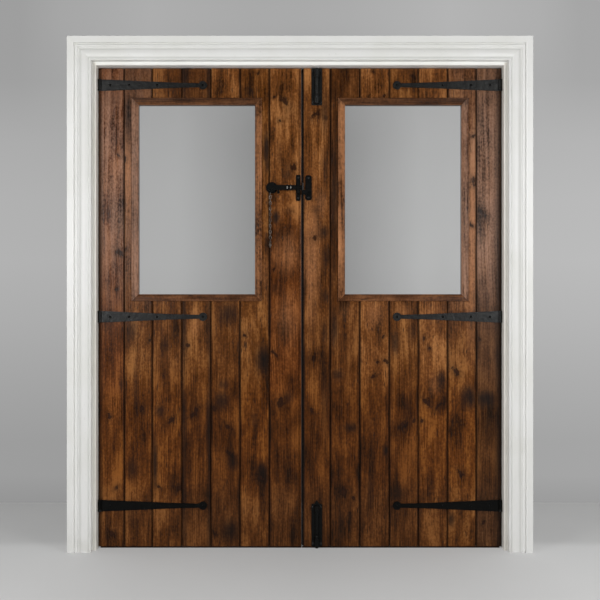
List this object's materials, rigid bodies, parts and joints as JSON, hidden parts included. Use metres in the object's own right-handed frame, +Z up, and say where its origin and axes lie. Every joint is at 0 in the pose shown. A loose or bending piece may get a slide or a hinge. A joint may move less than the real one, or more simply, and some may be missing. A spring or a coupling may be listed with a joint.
{
  "type": "pair of plank doors",
  "caption": "Pair of ledged and braced plank doors with glazed windows, forged strap hinges, latch and bolts, hung in a white moulded frame.",
  "frame": {"origin": "on the floor, midway between the outer edges of the frame and midway through its depth", "axes": "+Z up, +X to the right seen from the front, +Y from the front to the back; the front with the straps and latch faces -Y"},
  "size_m": [1.908, 0.152, 2.116],
  "materials": {
    "white_paint": "white satin paint on wood",
    "stained_pine": "dark stained and waxed reclaimed pine",
    "bead_pine": "dark stained pine, satin",
    "black_iron": "black waxed forged iron",
    "clear_glass": "clear"
  },
  "bodies": {
    "frame": {"left_jamb": "white_paint", "right_jamb": "white_paint", "head_jamb": "white_paint", "left_stop": "white_paint", "right_stop": "white_paint", "head_stop": "white_paint", "left_architrave": "white_paint", "right_architrave": "white_paint", "head_architrave": "white_paint", "left_pintles": "black_iron", "right_pintles": "black_iron"},
    "left_leaf": {"left_plank_1": "stained_pine", "left_plank_2": "stained_pine", "left_plank_3": "stained_pine", "left_plank_4": "stained_pine", "left_plank_5": "stained_pine", "left_plank_6": "stained_pine", "left_plank_7": "stained_pine", "left_top_ledge": "stained_pine", "left_middle_ledge": "stained_pine", "left_bottom_ledge": "stained_pine", "left_brace": "stained_pine", "left_top_strap": "black_iron", "left_middle_strap": "black_iron", "left_bottom_strap": "black_iron", "left_strap_nails": "black_iron", "left_front_bead": "bead_pine", "left_back_bead": "bead_pine", "left_glass": "clear_glass", "latch_rose": "black_iron", "latch_pin": "black_iron", "latch_staple": "black_iron"},
    "right_leaf": {"right_plank_1": "stained_pine", "right_plank_2": "stained_pine", "right_plank_3": "stained_pine", "right_plank_4": "stained_pine", "right_plank_5": "stained_pine", "right_plank_6": "stained_pine", "right_plank_7": "stained_pine", "right_top_ledge": "stained_pine", "right_middle_ledge": "stained_pine", "right_bottom_ledge": "stained_pine", "right_brace": "stained_pine", "right_top_strap": "black_iron", "right_middle_strap": "black_iron", "right_bottom_strap": "black_iron", "right_strap_nails": "black_iron", "right_front_bead": "bead_pine", "right_back_bead": "bead_pine", "right_glass": "clear_glass", "latch_keep": "black_iron", "top_bolt_plate": "black_iron", "bottom_bolt_plate": "black_iron"},
    "latch": {"latch_bar": "black_iron"},
    "chain": {"pull_chain": "black_iron", "chain_drop": "black_iron"},
    "top_bolt": {"top_bolt_rod": "black_iron"},
    "bottom_bolt": {"bottom_bolt_rod": "black_iron"}
  },
  "joints": [
    {"name": "left_leaf_swing", "type": "hinge", "parent": "frame", "child": "left_leaf", "pos_m": [-0.8355, -0.0033, 1], "axis": [0, 0, -1], "range_deg": [0, 95]},
    {"name": "right_leaf_swing", "type": "hinge", "parent": "frame", "child": "right_leaf", "pos_m": [0.8355, -0.0033, 1], "axis": [0, 0, 1], "range_deg": [0, 95]},
    {"name": "latch_lift", "type": "hinge", "parent": "left_leaf", "child": "latch", "pos_m": [-0.118, -0.0095, 1.503], "axis": [0, -1, 0], "range_deg": [-5, 5]},
    {"name": "chain_swing", "type": "hinge", "parent": "latch", "child": "chain", "pos_m": [-0.124, -0.0095, 1.483], "axis": [0, 1, 0], "range_deg": [-40, 40]},
    {"name": "top_bolt_slide", "type": "slide", "parent": "right_leaf", "child": "top_bolt", "axis": [0, 0, 1], "range_m": [0, 0.022]},
    {"name": "bottom_bolt_slide", "type": "slide", "parent": "right_leaf", "child": "bottom_bolt", "axis": [0, 0, 1], "range_m": [0, 0.04]}
  ]
}
